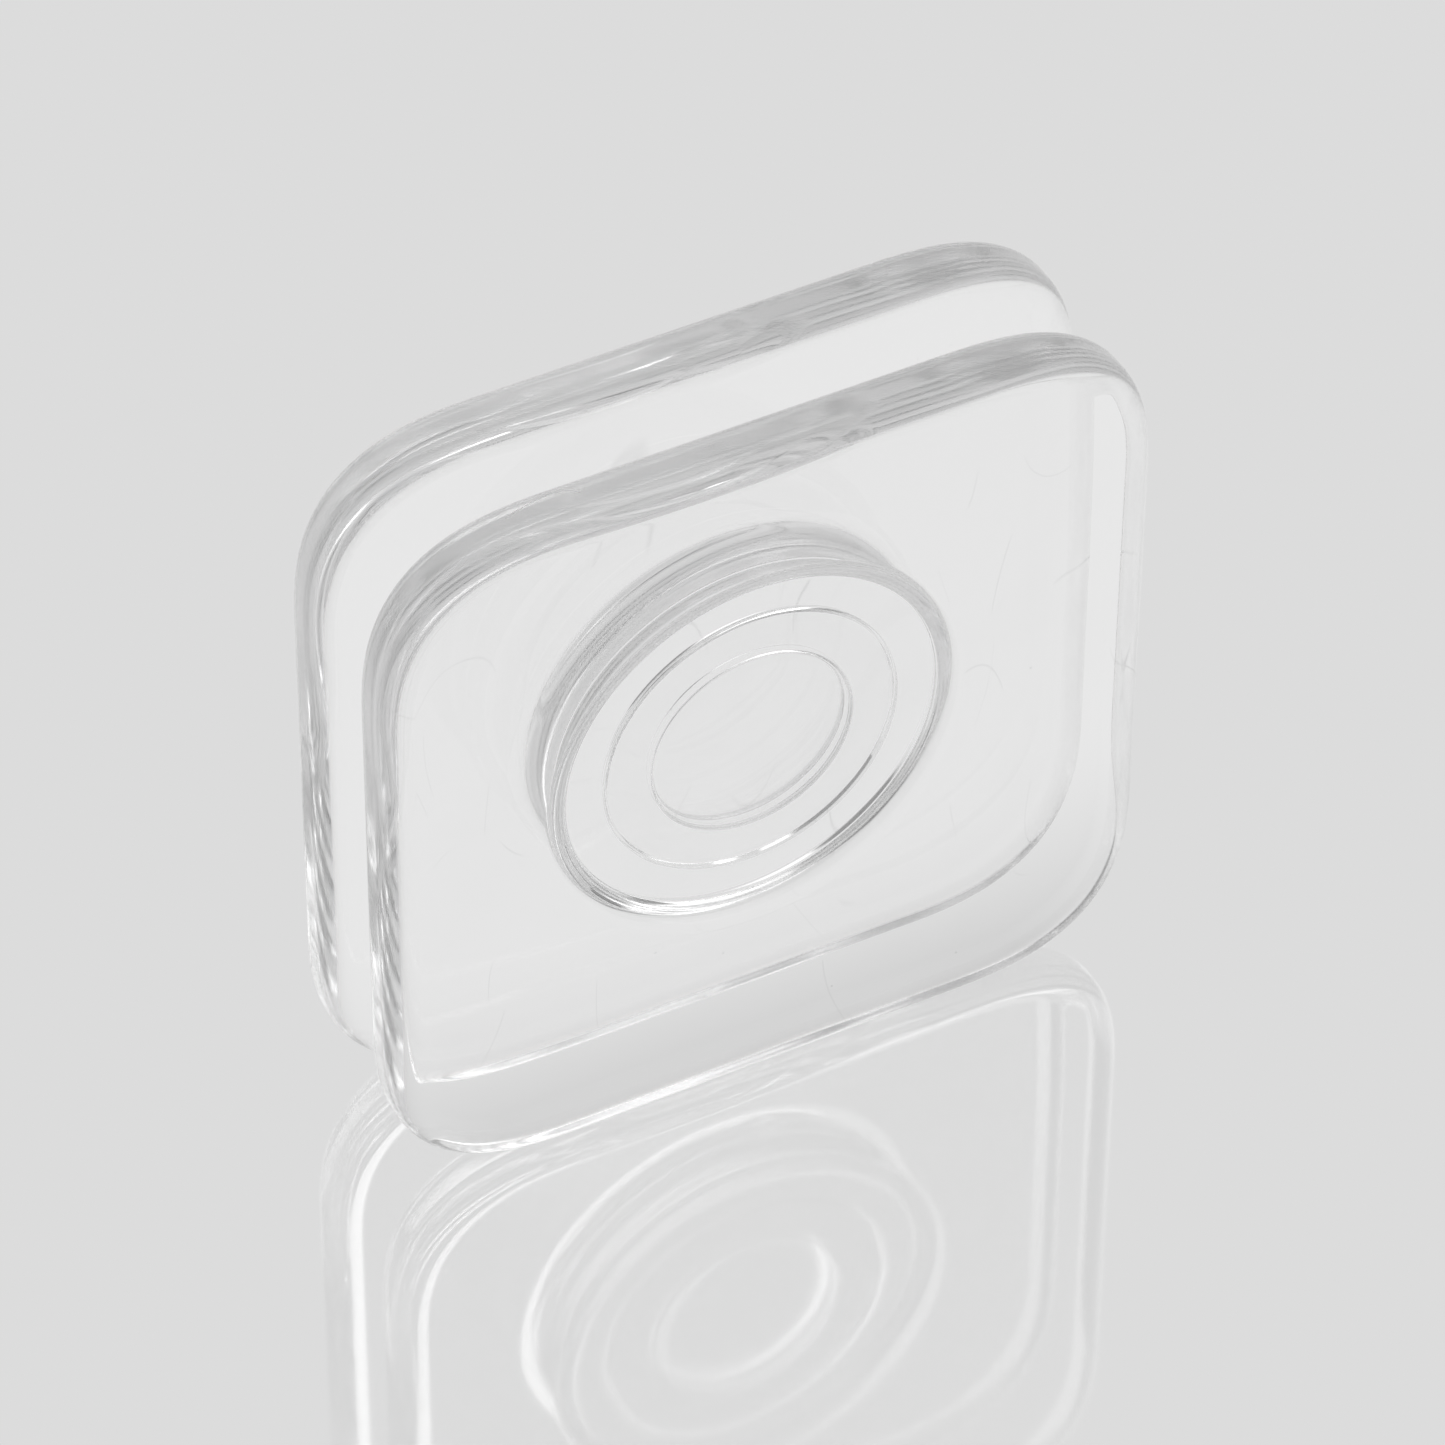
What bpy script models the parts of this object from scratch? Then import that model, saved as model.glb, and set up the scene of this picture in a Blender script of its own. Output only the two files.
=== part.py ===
"""Flat contact lens case: two identical clear halves with square plates, pressed together on a clear disc.

Metres, +Z up. The case stands on the bottom edges of its plates, with the hub axis along Y and the
front plate towards -Y. The origin is at the middle of its base.
"""

import math

import bmesh
import bpy

# ---- driving dimensions, metres ----
PLATE_W = 0.056  # width and height of each square plate
PLATE_T = 0.005  # thickness of each plate
PLATE_CORNER = 0.014  # how far each soft corner reaches along a side
CORNER_POWER = 2.7  # 2 is a round corner, more is squarer
PLATE_EDGE_R = 0.0021  # rounding round the rim of each plate
PLATE_GAP = 0.005  # clear distance between the plates
HUB_R = 0.0137  # waist of the hub
HUB_FILLET = 0.0019  # from the waist out to each plate
SEAM_GAP = 0.0001  # between the two halves at the middle of the hub
SEAM_WIDTH = 0.0029  # flat ring where the two halves meet, from the waist in to the disc's seat
DISC_T = 0.0008  # the soft disc that parts the two lens spaces and seals them
DISC_CHAMFER = 0.0001
DISC_PLAY = 0.00005  # above and below the disc, uncompressed
DISC_CLEARANCE = 0.00015  # round the disc's edge
DISH_R = 0.00745  # the shallow dish that holds a lens
DISH_DEPTH = 0.0006
DISH_POWER = 4.0  # 2 is a round bowl, more is flatter at the floor

SEGMENTS = 96
ARC_STEPS = 5
DISH_STEPS = 8

# ---- sizes that follow ----
CENTRE_Z = PLATE_W / 2
INNER_FACE = PLATE_GAP / 2
OUTER_FACE = INNER_FACE + PLATE_T
SEAT_R = HUB_R - SEAM_WIDTH
SEAT = DISC_T / 2 + DISC_PLAY
DISC_R = SEAT_R - DISC_CLEARANCE

ANGLES = [2 * math.pi * i / SEGMENTS for i in range(SEGMENTS)]


def clear_scene():
    for item in list(bpy.data.objects):
        bpy.data.objects.remove(item, do_unlink=True)


# ---- rings: each is a list of (x, z, depth), depth counted from the middle of the hub outwards ----
def plate_radius(angle, width, corner):
    """Distance from the centre to the plate's outline along one direction."""
    half, c, s = width / 2, abs(math.cos(angle)), abs(math.sin(angle))
    straight = half - corner
    low, high = 0.0, 2 * half
    for _ in range(50):
        r = (low + high) / 2
        x, z = r * c, r * s
        if x > half or z > half:
            inside = False
        elif x > straight and z > straight:
            u, v = (x - straight) / corner, (z - straight) / corner
            inside = u**CORNER_POWER + v**CORNER_POWER < 1
        else:
            inside = True
        low, high = (r, high) if inside else (low, r)
    return low


def plate_ring(inset, depth):
    width, corner = PLATE_W - 2 * inset, max(PLATE_CORNER - inset, 0.0005)
    return [
        (plate_radius(a, width, corner) * math.cos(a), plate_radius(a, width, corner) * math.sin(a), depth)
        for a in ANGLES
    ]


def circle(radius, depth):
    return [(radius * math.cos(a), radius * math.sin(a), depth) for a in ANGLES]


def arc(centre_r, centre_d, radius, start, end, steps=ARC_STEPS):
    """Circles along an arc in the (radius, depth) plane, angles in degrees."""
    rings = []
    for i in range(steps + 1):
        t = math.radians(start + (end - start) * i / steps)
        rings.append(circle(centre_r + radius * math.cos(t), centre_d + radius * math.sin(t)))
    return rings


def solid_from(name, rings, first, last):
    """A closed body lofted over the rings. first and last are the depths of its two middle points."""
    mesh = bpy.data.meshes.new(name)
    bm = bmesh.new()
    loops = [[bm.verts.new((x, -depth, z)) for x, z, depth in ring] for ring in rings]
    for a, b in zip(loops, loops[1:]):
        for i in range(SEGMENTS):
            j = (i + 1) % SEGMENTS
            bm.faces.new((a[i], a[j], b[j], b[i]))
    for loop, depth in ((loops[0], first), (loops[-1], last)):
        middle = bm.verts.new((0, -depth, 0))
        for i in range(SEGMENTS):
            bm.faces.new((loop[i], loop[(i + 1) % SEGMENTS], middle))
    bmesh.ops.recalc_face_normals(bm, faces=bm.faces)
    for face in bm.faces:
        face.smooth = True
    bm.to_mesh(mesh)
    bm.free()
    mesh.set_sharp_from_angle(angle=math.radians(28))
    item = bpy.data.objects.new(name, mesh)
    item.location = (0, 0, CENTRE_Z)
    bpy.context.scene.collection.objects.link(item)
    return item


# ---- the pieces ----
def case_half(name):
    """Plate, half hub, disc seat and lens dish, from the middle of the outer face round to the dish."""
    edge = min(PLATE_EDGE_R, 0.49 * PLATE_T)
    rings = []
    for side, turns in ((OUTER_FACE - edge, (90, 0)), (INNER_FACE + edge, (0, -90))):
        for i in range(ARC_STEPS + 1):
            t = math.radians(turns[0] + (turns[1] - turns[0]) * i / ARC_STEPS)
            rings.append(plate_ring(edge * (1 - math.cos(t)), side + edge * math.sin(t)))
    fillet = min(HUB_FILLET, 0.9 * (INNER_FACE - SEAM_GAP / 2))
    rings += arc(HUB_R + fillet, INNER_FACE - fillet, fillet, 90, 180)
    rings.append(circle(HUB_R, SEAM_GAP / 2))
    rings.append(circle(SEAT_R, SEAM_GAP / 2))
    rings.append(circle(SEAT_R, SEAT))
    for i in range(DISH_STEPS):
        t = math.pi / 2 * i / DISH_STEPS
        r = DISH_R * math.cos(t) ** (2 / DISH_POWER)
        rings.append(circle(r, SEAT + DISH_DEPTH * math.sin(t) ** (2 / DISH_POWER)))
    return solid_from(name, rings, OUTER_FACE, SEAT + DISH_DEPTH)


def disc(name):
    half = DISC_T / 2
    rings = [
        circle(DISC_R - DISC_CHAMFER, half),
        circle(DISC_R, half - DISC_CHAMFER),
        circle(DISC_R, DISC_CHAMFER - half),
        circle(DISC_R - DISC_CHAMFER, -half),
    ]
    return solid_from(name, rings, half, -half)


# ---- materials ----
def material(name, colour, roughness, ior):
    mat = bpy.data.materials.new(name)
    mat.use_nodes = True
    shader = mat.node_tree.nodes["Principled BSDF"]
    shader.inputs["Base Color"].default_value = colour
    shader.inputs["Roughness"].default_value = roughness
    shader.inputs["IOR"].default_value = ior
    shader.inputs["Transmission Weight"].default_value = 1.0
    mat.diffuse_color = colour[:3] + (0.35,)
    return mat


clear_scene()
plastic = material("clear_plastic", (0.97, 0.98, 0.98, 1.0), 0.02, 1.49)
silicone = material("clear_silicone", (0.93, 0.95, 0.95, 1.0), 0.15, 1.41)

front = case_half("front_half")
rear = case_half("rear_half")
rear.rotation_euler = (0, 0, math.pi)
divider = disc("divider_disc")

for item in (front, rear):
    item.data.materials.append(plastic)
divider.data.materials.append(silicone)
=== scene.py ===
"""Looks of the flat contact lens case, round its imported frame."""

import math

import bmesh
import bpy
from mathutils import Matrix, Vector


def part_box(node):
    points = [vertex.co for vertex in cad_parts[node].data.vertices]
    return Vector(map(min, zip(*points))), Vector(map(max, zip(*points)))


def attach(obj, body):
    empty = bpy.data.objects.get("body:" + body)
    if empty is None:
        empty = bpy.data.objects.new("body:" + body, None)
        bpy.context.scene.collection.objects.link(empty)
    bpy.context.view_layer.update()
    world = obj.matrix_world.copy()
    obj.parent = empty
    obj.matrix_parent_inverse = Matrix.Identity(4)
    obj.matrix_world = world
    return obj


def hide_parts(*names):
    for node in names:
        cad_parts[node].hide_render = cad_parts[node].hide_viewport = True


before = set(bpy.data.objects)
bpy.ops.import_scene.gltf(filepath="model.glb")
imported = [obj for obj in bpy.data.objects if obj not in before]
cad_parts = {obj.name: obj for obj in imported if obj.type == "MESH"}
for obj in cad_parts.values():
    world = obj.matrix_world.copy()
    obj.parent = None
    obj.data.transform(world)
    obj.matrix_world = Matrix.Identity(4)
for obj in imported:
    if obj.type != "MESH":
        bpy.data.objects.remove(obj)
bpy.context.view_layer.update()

MM = 0.001

# ---- sizes of the object, in millimetres, as the CAD has them ----
PLATE_W = 56.0
PLATE_T = 5.0
PLATE_CORNER = 14.0
CORNER_POWER = 2.7
PLATE_EDGE_R = 2.1
PLATE_GAP = 5.0
HUB_R = 13.7
HUB_FILLET = 1.9
SEAM_GAP = 0.1
SEAM_WIDTH = 2.9
DISC_T = 0.8
DISC_CHAMFER = 0.1
DISC_PLAY = 0.05
DISC_CLEARANCE = 0.15
DISH_R = 7.45
DISH_DEPTH = 0.6
DISH_POWER = 4.0
LIP_R = 0.06  # rounding left by the mould's sharp corners

INNER_FACE = PLATE_GAP / 2
OUTER_FACE = INNER_FACE + PLATE_T
SEAT_R = HUB_R - SEAM_WIDTH
SEAT = DISC_T / 2 + DISC_PLAY
DISC_R = SEAT_R - DISC_CLEARANCE

SEGMENTS = 288
EDGE_STEPS = 16
LIP_STEPS = 4
DISH_STEPS = 24
SHARP_ANGLE = math.radians(25)
ANGLES = [2 * math.pi * i / SEGMENTS for i in range(SEGMENTS)]

low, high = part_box("front_half")
HUB_Z = (low[2] + high[2]) / 2


# ---- rings, as the CAD builds them, with more points ----
def plate_radius(angle, width, corner):
    """Distance from the centre to the plate's outline along one direction."""
    half, c, s = width / 2, abs(math.cos(angle)), abs(math.sin(angle))
    straight = half - corner
    low, high = 0.0, 2 * half
    for _ in range(40):
        r = (low + high) / 2
        x, z = r * c, r * s
        if x > half or z > half:
            inside = False
        elif x > straight and z > straight:
            u, v = (x - straight) / corner, (z - straight) / corner
            inside = u**CORNER_POWER + v**CORNER_POWER < 1
        else:
            inside = True
        low, high = (r, high) if inside else (low, r)
    return low


def plate_ring(inset, depth):
    ring = []
    for a in ANGLES:
        r = plate_radius(a, PLATE_W - 2 * inset, PLATE_CORNER - inset)
        ring.append((r * math.cos(a), r * math.sin(a), depth))
    return ring


def circle(radius, depth):
    return [(radius * math.cos(a), radius * math.sin(a), depth) for a in ANGLES]


def arc(centre_r, centre_d, radius, start, end, steps):
    """Circles along an arc in the (radius, depth) plane, angles in degrees."""
    rings = []
    for i in range(steps + 1):
        t = math.radians(start + (end - start) * i / steps)
        rings.append(circle(centre_r + radius * math.cos(t), centre_d + radius * math.sin(t)))
    return rings


def solid_from(name, rings, first, last, turn=False):
    """A closed body lofted over the rings. turn puts it on the far side of the middle plane."""
    mesh = bpy.data.meshes.new(name)
    bm = bmesh.new()
    side = -1 if turn else 1
    loops = [
        [bm.verts.new((side * x * MM, -side * depth * MM, z * MM + HUB_Z)) for x, z, depth in ring]
        for ring in rings
    ]
    for a, b in zip(loops, loops[1:]):
        for i in range(SEGMENTS):
            j = (i + 1) % SEGMENTS
            bm.faces.new((a[i], a[j], b[j], b[i]))
    for loop, depth in ((loops[0], first), (loops[-1], last)):
        middle = bm.verts.new((0, -side * depth * MM, HUB_Z))
        for i in range(SEGMENTS):
            bm.faces.new((loop[i], loop[(i + 1) % SEGMENTS], middle))
    bmesh.ops.recalc_face_normals(bm, faces=bm.faces)
    for face in bm.faces:
        face.smooth = True
    bm.to_mesh(mesh)
    bm.free()
    mesh.set_sharp_from_angle(angle=SHARP_ANGLE)
    item = bpy.data.objects.new(name, mesh)
    bpy.context.scene.collection.objects.link(item)
    return item


def case_half(name, turn=False):
    """Plate, half hub, disc seat and lens dish, from the middle of the outer face round to the dish."""
    rings = []
    for side, turns in ((OUTER_FACE - PLATE_EDGE_R, (90, 0)), (INNER_FACE + PLATE_EDGE_R, (0, -90))):
        for i in range(EDGE_STEPS + 1):
            t = math.radians(turns[0] + (turns[1] - turns[0]) * i / EDGE_STEPS)
            rings.append(plate_ring(PLATE_EDGE_R * (1 - math.cos(t)), side + PLATE_EDGE_R * math.sin(t)))
    rings += arc(HUB_R + HUB_FILLET, INNER_FACE - HUB_FILLET, HUB_FILLET, 90, 180, EDGE_STEPS)
    seam = SEAM_GAP / 2
    rings += arc(HUB_R - LIP_R, seam + LIP_R, LIP_R, 0, -90, LIP_STEPS)
    rings += arc(SEAT_R + LIP_R, seam + LIP_R, LIP_R, -90, -180, LIP_STEPS)
    rings.append(circle(SEAT_R, SEAT))
    for i in range(DISH_STEPS):
        t = math.pi / 2 * i / DISH_STEPS
        r = DISH_R * math.cos(t) ** (2 / DISH_POWER)
        rings.append(circle(r, SEAT + DISH_DEPTH * math.sin(t) ** (2 / DISH_POWER)))
    return solid_from(name, rings, OUTER_FACE, SEAT + DISH_DEPTH, turn)


def disc(name):
    half = DISC_T / 2
    rings = [
        circle(DISC_R - DISC_CHAMFER, half),
        circle(DISC_R, half - DISC_CHAMFER),
        circle(DISC_R, DISC_CHAMFER - half),
        circle(DISC_R - DISC_CHAMFER, -half),
    ]
    return solid_from(name, rings, half, -half)


# ---- shader helpers ----
class Graph:
    """Short calls for the nodes that the materials and the studio share."""

    def __init__(self, tree):
        self.nodes, self.links = tree.nodes, tree.links

    def put(self, socket, value):
        if isinstance(value, bpy.types.NodeSocket):
            self.links.new(value, socket)
        else:
            socket.default_value = value

    def math(self, operation, a, b=0.0):
        node = self.nodes.new("ShaderNodeMath")
        node.operation = operation
        self.put(node.inputs[0], a)
        self.put(node.inputs[1], b)
        return node.outputs[0]

    def ramp(self, value, low, high, to_low=0.0, to_high=1.0):
        node = self.nodes.new("ShaderNodeMapRange")
        node.interpolation_type = "SMOOTHSTEP"
        self.put(node.inputs["Value"], value)
        self.put(node.inputs["From Min"], low)
        self.put(node.inputs["From Max"], high)
        self.put(node.inputs["To Min"], to_low)
        self.put(node.inputs["To Max"], to_high)
        return node.outputs["Result"]

    def window(self, value, low, high, soft):
        """1 between low and high, and 0 outside."""
        rise = self.ramp(value, low - soft, low + soft)
        fall = self.ramp(value, high - soft, high + soft, 1.0, 0.0)
        return self.math("MULTIPLY", rise, fall)

    def blend(self, amount, a, b):
        """a where amount is 0, b where it is 1."""
        return self.math("ADD", a, self.math("MULTIPLY", amount, self.math("SUBTRACT", b, a)))

    def place(self, scale=(1, 1, 1), turn=(0, 0, 0)):
        coords = self.nodes.new("ShaderNodeTexCoord")
        mapping = self.nodes.new("ShaderNodeMapping")
        mapping.inputs["Scale"].default_value = scale
        mapping.inputs["Rotation"].default_value = turn
        self.links.new(coords.outputs["Object"], mapping.inputs["Vector"])
        return mapping.outputs[0]

    def noise(self, vector, scale, detail=2.0):
        node = self.nodes.new("ShaderNodeTexNoise")
        self.put(node.inputs["Vector"], vector)
        node.inputs["Scale"].default_value = scale
        node.inputs["Detail"].default_value = detail
        return node.outputs["Fac"]

    def grey(self, tone):
        """One tone as a colour."""
        node = self.nodes.new("ShaderNodeCombineColor")
        for channel in node.inputs[:3]:
            self.put(channel, tone)
        return node.outputs[0]

    def bump(self, height, distance, strength):
        node = self.nodes.new("ShaderNodeBump")
        node.inputs["Distance"].default_value = distance
        node.inputs["Strength"].default_value = strength
        self.put(node.inputs["Height"], height)
        return node.outputs[0]


SCRATCH_FIELD = 55.0  # noise whose middle contours the scratches follow
SCRATCH_STRETCH = (1.0, 1.0, 0.35)
SCRATCH_WIDTH = 0.0022
SCRATCH_PATCH = 130.0  # noise that keeps short stretches of them
SCRATCH_KEEP = (0.64, 0.70)


def hairlines(g, turn, offset):
    """Fine curved scratches, each a short stretch of a noise contour."""
    field = g.noise(g.place(SCRATCH_STRETCH, turn), SCRATCH_FIELD + offset, 1.0)
    off_line = g.math("ABSOLUTE", g.math("SUBTRACT", field, 0.5))
    line = g.ramp(off_line, 0.0, SCRATCH_WIDTH, 1.0, 0.0)
    patch = g.noise(g.place(turn=turn), SCRATCH_PATCH + offset, 0.0)
    return g.math("MULTIPLY", line, g.ramp(patch, *SCRATCH_KEEP))


def specks(g, scale, size, share):
    """Grains of dust: a dot in a few cells of a Voronoi pattern."""
    cells = g.nodes.new("ShaderNodeTexVoronoi")
    cells.inputs["Scale"].default_value = scale
    g.links.new(g.place(), cells.inputs["Vector"])
    chosen = g.nodes.new("ShaderNodeSeparateColor")
    g.links.new(cells.outputs["Color"], chosen.inputs[0])
    dot = g.ramp(cells.outputs["Distance"], size * 0.5, size, 1.0, 0.0)
    return g.math("MULTIPLY", dot, g.math("GREATER_THAN", chosen.outputs[0], 1.0 - share))


# ---- materials ----
PLASTIC_IOR = 1.49
PLASTIC_TONE = (0.998, 0.988)  # clean, smudged
PLASTIC_ROUGHNESS = (0.004, 0.03)  # clean, smudged
SCRATCH_TURNS = (((0.4, 0.2, 0.9), 0.0), ((1.3, 0.7, 0.1), 21.0))  # rotation and offset of each layer
SCRATCH_DARK = 0.10
SCRATCH_ROUGH = 0.2
DUST_SCALE, DUST_SIZE, DUST_SHARE, DUST_DARK = 520.0, 0.055, 0.05, 0.35
SMUDGE_SCALE, SMUDGE_EDGE = 95.0, (0.5, 0.72)
RIPPLE_SCALE, RIPPLE_DEPTH, RIPPLE_STRENGTH = 60.0, 0.00008, 0.4
ABSORPTION = 3.0  # per metre of plastic, so that light that runs along a plate comes out grey
WALL_FACING = (0.55, 0.98)  # how far a surface faces along the hub before it counts as a flat face
WALL_START = (SEAT_R + 0.5) * MM  # rims and walls lie beyond this radius
WALL_ROUGHNESS = 0.12  # on top of the polish
WALL_PAINTED_SHADE = 0.88  # painted shade: how much light each pass through a rim or a wall keeps, so that the rims and the hub's wall come out grey

SILICONE_IOR = 1.41
SILICONE_TONE = (0.975, 0.995)
SILICONE_ROUGHNESS = (0.03, 0.08)
HAZE_SCALE, HAZE_EDGE = 300.0, (0.3, 0.7)
GRAIN_SCALE, GRAIN_DEPTH, GRAIN_STRENGTH = 4000.0, 0.00001, 0.3


def clear_material(name, ior):
    mat = bpy.data.materials.new(name)
    mat.use_nodes = True
    g = Graph(mat.node_tree)
    shader = g.nodes["Principled BSDF"]
    shader.inputs["IOR"].default_value = ior
    shader.inputs["Transmission Weight"].default_value = 1.0
    return mat, g, shader


def wall_mask(g):
    """1 on the plates' rims and the hub's wall, 0 on the flat faces; it carries the rims' extra roughness and
    their painted shade.
    """
    coords = g.nodes.new("ShaderNodeTexCoord")
    facing = g.nodes.new("ShaderNodeSeparateXYZ")
    g.links.new(coords.outputs["Normal"], facing.inputs[0])
    spot = g.nodes.new("ShaderNodeSeparateXYZ")
    g.links.new(coords.outputs["Object"], spot.inputs[0])
    across, up = spot.outputs["X"], g.math("SUBTRACT", spot.outputs["Z"], HUB_Z)
    squares = g.math("ADD", g.math("MULTIPLY", across, across), g.math("MULTIPLY", up, up))
    side = g.ramp(g.math("ABSOLUTE", facing.outputs["Y"]), *WALL_FACING, 1.0, 0.0)
    return g.math("MULTIPLY", side, g.math("GREATER_THAN", g.math("SQRT", squares), WALL_START))


def plastic_material():
    """Clear cast plastic: faint ripples, smudges, hairline scratches and dust, and rougher rims darkened with
    painted shade.
    """
    mat, g, shader = clear_material("clear_plastic_look", PLASTIC_IOR)
    scratches = g.math("MAXIMUM", *[hairlines(g, turn, offset) for turn, offset in SCRATCH_TURNS])
    dust = specks(g, DUST_SCALE, DUST_SIZE, DUST_SHARE)
    smudge = g.ramp(g.noise(g.place(), SMUDGE_SCALE), *SMUDGE_EDGE)
    wall = wall_mask(g)
    marks = g.math(
        "MAXIMUM", g.math("MULTIPLY", scratches, SCRATCH_DARK), g.math("MULTIPLY", dust, DUST_DARK)
    )
    tone = g.math("SUBTRACT", g.blend(smudge, *PLASTIC_TONE), marks)
    # painted shade: the rims and the hub's wall are darkened in colour
    tone = g.math("MULTIPLY", tone, g.blend(wall, 1.0, WALL_PAINTED_SHADE))
    g.links.new(g.grey(tone), shader.inputs["Base Color"])
    rough = g.math("ADD", g.blend(smudge, *PLASTIC_ROUGHNESS), g.math("MULTIPLY", scratches, SCRATCH_ROUGH))
    rough = g.math("ADD", rough, g.math("MULTIPLY", wall, WALL_ROUGHNESS))
    g.links.new(rough, shader.inputs["Roughness"])
    ripple = g.noise(g.place(), RIPPLE_SCALE, 1.0)
    g.links.new(g.bump(ripple, RIPPLE_DEPTH, RIPPLE_STRENGTH), shader.inputs["Normal"])
    absorb = g.nodes.new("ShaderNodeVolumeAbsorption")
    absorb.inputs["Color"].default_value = (0.0, 0.0, 0.0, 1.0)
    absorb.inputs["Density"].default_value = ABSORPTION
    g.links.new(absorb.outputs[0], g.nodes["Material Output"].inputs["Volume"])
    return mat


def silicone_material():
    """Clear silicone, a little milky, with a fine moulded grain."""
    mat, g, shader = clear_material("clear_silicone_look", SILICONE_IOR)
    haze = g.noise(g.place(), HAZE_SCALE, 3.0)
    g.links.new(g.grey(g.ramp(haze, *HAZE_EDGE, *SILICONE_TONE)), shader.inputs["Base Color"])
    g.links.new(g.ramp(haze, *HAZE_EDGE, *SILICONE_ROUGHNESS), shader.inputs["Roughness"])
    grain = g.noise(g.place(), GRAIN_SCALE)
    g.links.new(g.bump(grain, GRAIN_DEPTH, GRAIN_STRENGTH), shader.inputs["Normal"])
    return mat


clear_plastic = plastic_material()
clear_silicone = silicone_material()

PIECES = (
    (case_half("front_moulding"), "front_half", "front", clear_plastic, "clear_plastic"),
    (case_half("rear_moulding", turn=True), "rear_half", "rear", clear_plastic, "clear_plastic"),
    (disc("silicone_disc"), "divider_disc", "divider", clear_silicone, "clear_silicone"),
)
for piece, node, body, mat, slot in PIECES:
    piece.data.materials.append(mat)
    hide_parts(node)
    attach(piece, body)

# ---- stage: a pale glossy floor and a studio that only the plastic sees ----
BACKDROP = 0.716  # linear grey of the floor and backdrop as the camera sees them
FLOOR_PAINTED_SHADOW, FLOOR_PAINTED_POOL, FLOOR_FAR = 0.655, 0.82, 0.72  # painted shadow and painted light: the floor's glow seen through the plastic, darker under the case, brighter around it, and plainer far off
UNDER_REACH = 0.016  # how far the painted shadow under the case spreads from its middle plane
FLOOR_FADE = (0.07, 0.13)  # distance from the middle over which the painted glow falls to FLOOR_FAR
FLOOR_SIZE = 4.0
FLOOR_DROP = 0.0001  # below the plates' edges
FLOOR_GLOSS = 0.05
MIRROR = 0.14  # how much of the floor the camera sees as a mirror
SKY = 0.76
# Level, azimuth from +X towards +Y and elevation in degrees, each low to high. A later card covers an earlier.
CARDS = (
    (1.35, (-32, 99), (28, 84)),
    (2.8, (-4, 50), (30, 80)),
    (0.70, (54, 71), (35, 53)),
    (0.22, (102, 148), (-5, 50)),
    (0.18, (-12, 33), (-5, 24)),
)
CARD_SOFT = 3.0
FIRST_MIRROR = 2.5  # rays shallower than this come straight from the camera or its first mirror image


def add_floor(size, mat):
    mesh = bpy.data.meshes.new("floor")
    h = size / 2
    mesh.from_pydata([(-h, -h, 0), (h, -h, 0), (h, h, 0), (-h, h, 0)], [], [(0, 1, 2, 3)])
    item = bpy.data.objects.new("floor", mesh)
    item.location = (0, 0, -FLOOR_DROP)
    item.data.materials.append(mat)
    bpy.context.scene.collection.objects.link(item)


def floor_material():
    mat = bpy.data.materials.new("floor_pale")
    mat.use_nodes = True
    g = Graph(mat.node_tree)
    g.nodes.clear()
    path = g.nodes.new("ShaderNodeLightPath")
    spot = g.nodes.new("ShaderNodeNewGeometry")
    reach = g.nodes.new("ShaderNodeVectorMath")
    reach.operation = "LENGTH"
    g.links.new(spot.outputs["Position"], reach.inputs[0])
    axes = g.nodes.new("ShaderNodeSeparateXYZ")
    g.links.new(spot.outputs["Position"], axes.inputs[0])
    # Mirrored about the middle plane, so that the ramp passes through FLOOR_PAINTED_SHADOW there, the painted
    # shadow under the case.
    off_plane = g.math("ABSOLUTE", axes.outputs["Y"])
    painted_shadow_level = g.ramp(off_plane, -UNDER_REACH, UNDER_REACH, 2 * FLOOR_PAINTED_SHADOW - FLOOR_PAINTED_POOL, FLOOR_PAINTED_POOL)
    painted_floor_light = g.ramp(reach.outputs["Value"], *FLOOR_FADE, painted_shadow_level, FLOOR_FAR)
    glow = g.nodes.new("ShaderNodeEmission")
    # painted shadow and light: rays from the plastic see the floor darker under the case and brighter around
    # it, and camera rays see the even backdrop
    g.put(glow.inputs["Strength"], g.blend(path.outputs["Is Camera Ray"], painted_floor_light, BACKDROP))
    gloss = g.nodes.new("ShaderNodeBsdfGlossy")
    gloss.inputs["Color"].default_value = (1, 1, 1, 1)
    gloss.inputs["Roughness"].default_value = FLOOR_GLOSS
    mix = g.nodes.new("ShaderNodeMixShader")
    g.put(mix.inputs["Fac"], g.math("MULTIPLY", path.outputs["Is Camera Ray"], MIRROR))
    g.links.new(glow.outputs[0], mix.inputs[1])
    g.links.new(gloss.outputs[0], mix.inputs[2])
    output = g.nodes.new("ShaderNodeOutputMaterial")
    g.links.new(mix.outputs[0], output.inputs["Surface"])
    mat.cycles.emission_sampling = "NONE"
    return mat


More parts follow.
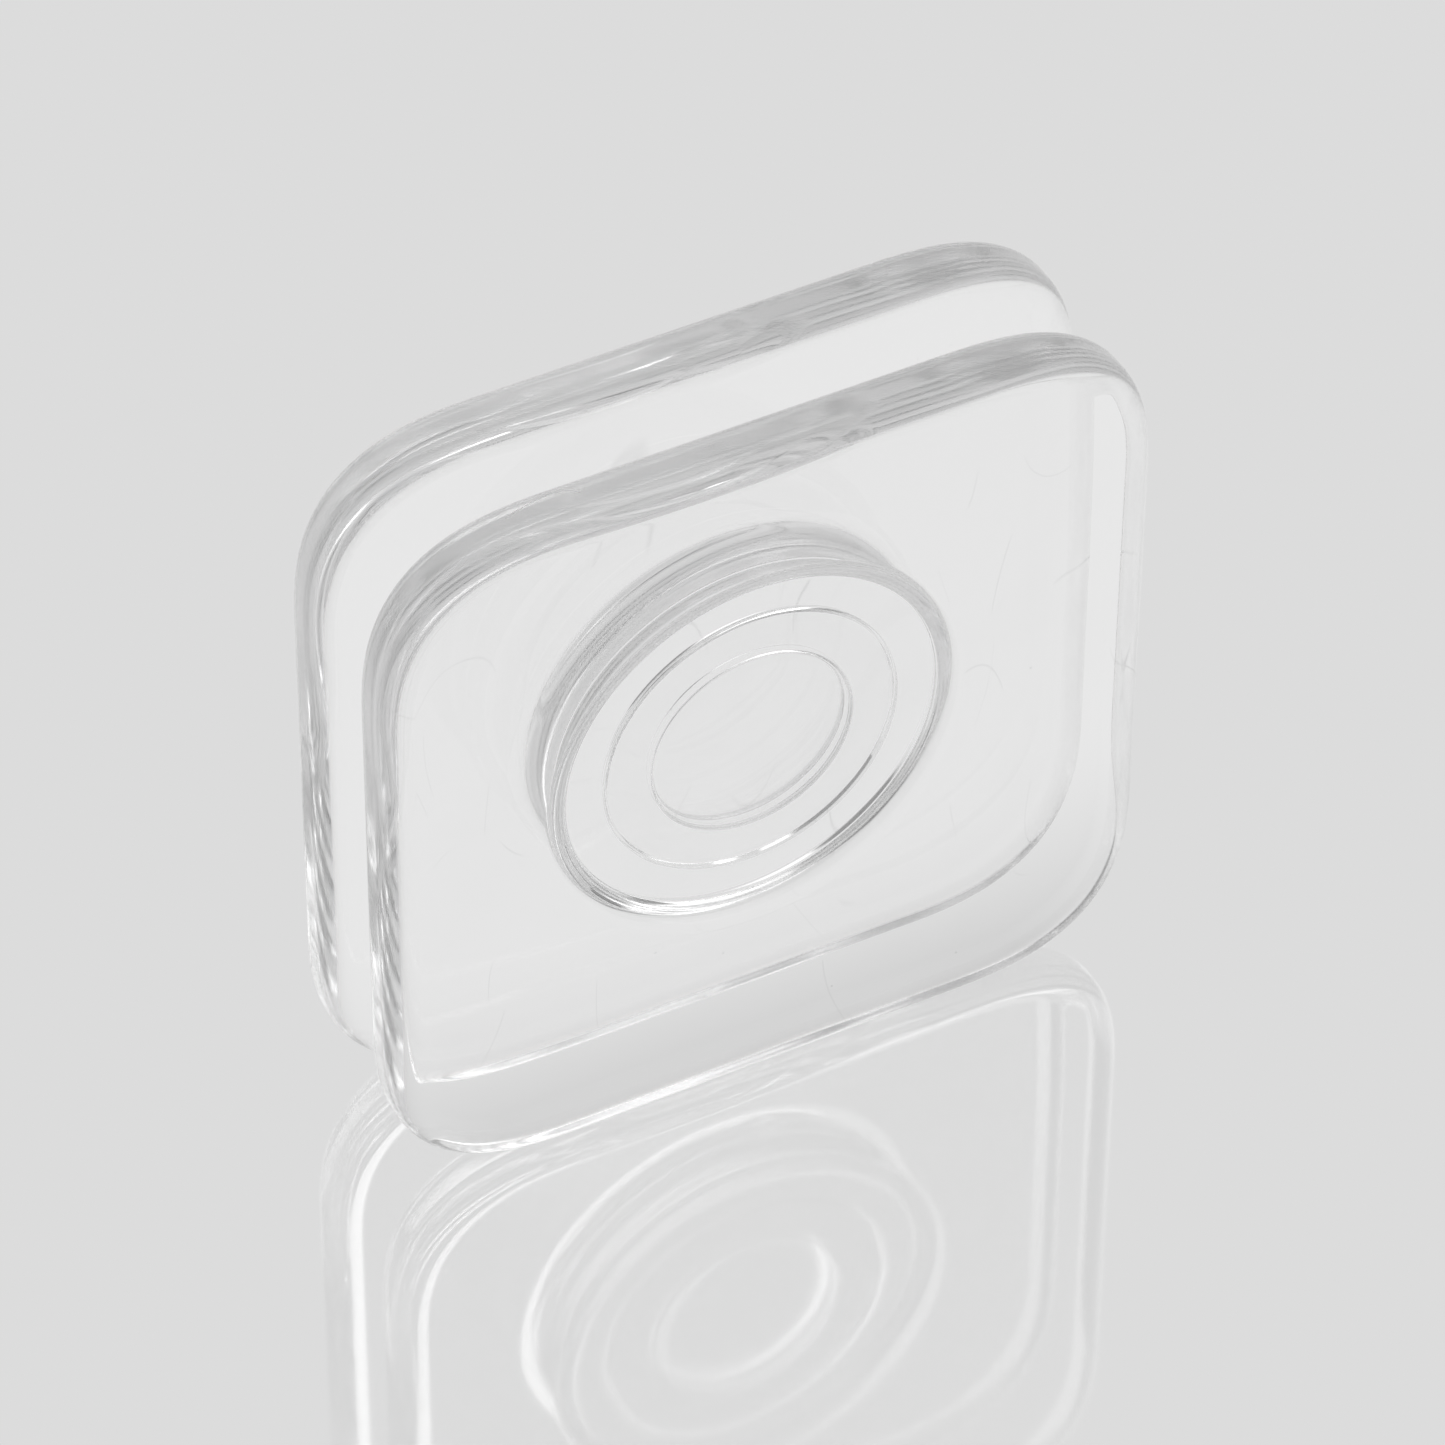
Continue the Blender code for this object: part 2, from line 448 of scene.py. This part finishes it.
def studio_world():
    world = bpy.data.worlds.new("studio")
    bpy.context.scene.world = world
    world.use_nodes = True
    world.cycles.sampling_method = "NONE"
    g = Graph(world.node_tree)
    coords = g.nodes.new("ShaderNodeTexCoord")
    axes = g.nodes.new("ShaderNodeSeparateXYZ")
    g.links.new(coords.outputs["Generated"], axes.inputs[0])
    azimuth = g.math("DEGREES", g.math("ARCTAN2", axes.outputs["Y"], axes.outputs["X"]))
    elevation = g.math("DEGREES", g.math("ARCSINE", axes.outputs["Z"]))
    level = SKY
    for value, across, height in CARDS:
        card = g.math(
            "MULTIPLY",
            g.window(azimuth, *across, CARD_SOFT),
            g.window(elevation, *height, CARD_SOFT),
        )
        level = g.blend(card, level, value)
    # The camera, and a first mirror image in the floor, see the plain backdrop.
    path = g.nodes.new("ShaderNodeLightPath")
    first = g.math("LESS_THAN", path.outputs["Ray Depth"], FIRST_MIRROR)
    mirror = g.math("MULTIPLY", first, path.outputs["Is Glossy Ray"])
    plain = g.math("MAXIMUM", path.outputs["Is Camera Ray"], mirror)
    background = g.nodes["Background"]
    background.inputs["Color"].default_value = (1, 1, 1, 1)
    g.put(background.inputs["Strength"], g.blend(plain, level, BACKDROP))


add_floor(FLOOR_SIZE, floor_material())
studio_world()

# ---- camera: a long lens from the front left and above, in plate widths ----
AZIMUTH, ELEVATION, ROLL = math.radians(-27.73), math.radians(43.93), math.radians(0.45)
SIDE = PLATE_W * MM
DISTANCE = 9.488 * SIDE
SENSOR = 36.0
LENS = 5.5706 * SENSOR
CLIP_START = 0.01
target = Vector((-0.0018 * SIDE, 0, HUB_Z - 0.0306 * SIDE))
forward = Vector(
    (
        -math.sin(AZIMUTH) * math.cos(ELEVATION),
        math.cos(AZIMUTH) * math.cos(ELEVATION),
        -math.sin(ELEVATION),
    )
)
right = forward.cross(Vector((0, 0, 1))).normalized()
up = right.cross(forward)
right, up = (
    right * math.cos(ROLL) + up * math.sin(ROLL),
    up * math.cos(ROLL) - right * math.sin(ROLL),
)
camera_data = bpy.data.cameras.new("camera")
camera_data.lens = LENS
camera_data.sensor_width = SENSOR
camera_data.clip_start = CLIP_START
camera = bpy.data.objects.new("camera", camera_data)
turn = Matrix((right, up, -forward)).transposed()
camera.matrix_world = Matrix.Translation(target - forward * DISTANCE) @ turn.to_4x4()
bpy.context.scene.collection.objects.link(camera)
bpy.context.scene.camera = camera

BOUNCES = 48  # enough for light trapped in the plates to get out
scene = bpy.context.scene
scene.view_settings.view_transform = "Standard"
scene.cycles.max_bounces = BOUNCES
scene.cycles.transmission_bounces = BOUNCES
scene.cycles.glossy_bounces = BOUNCES
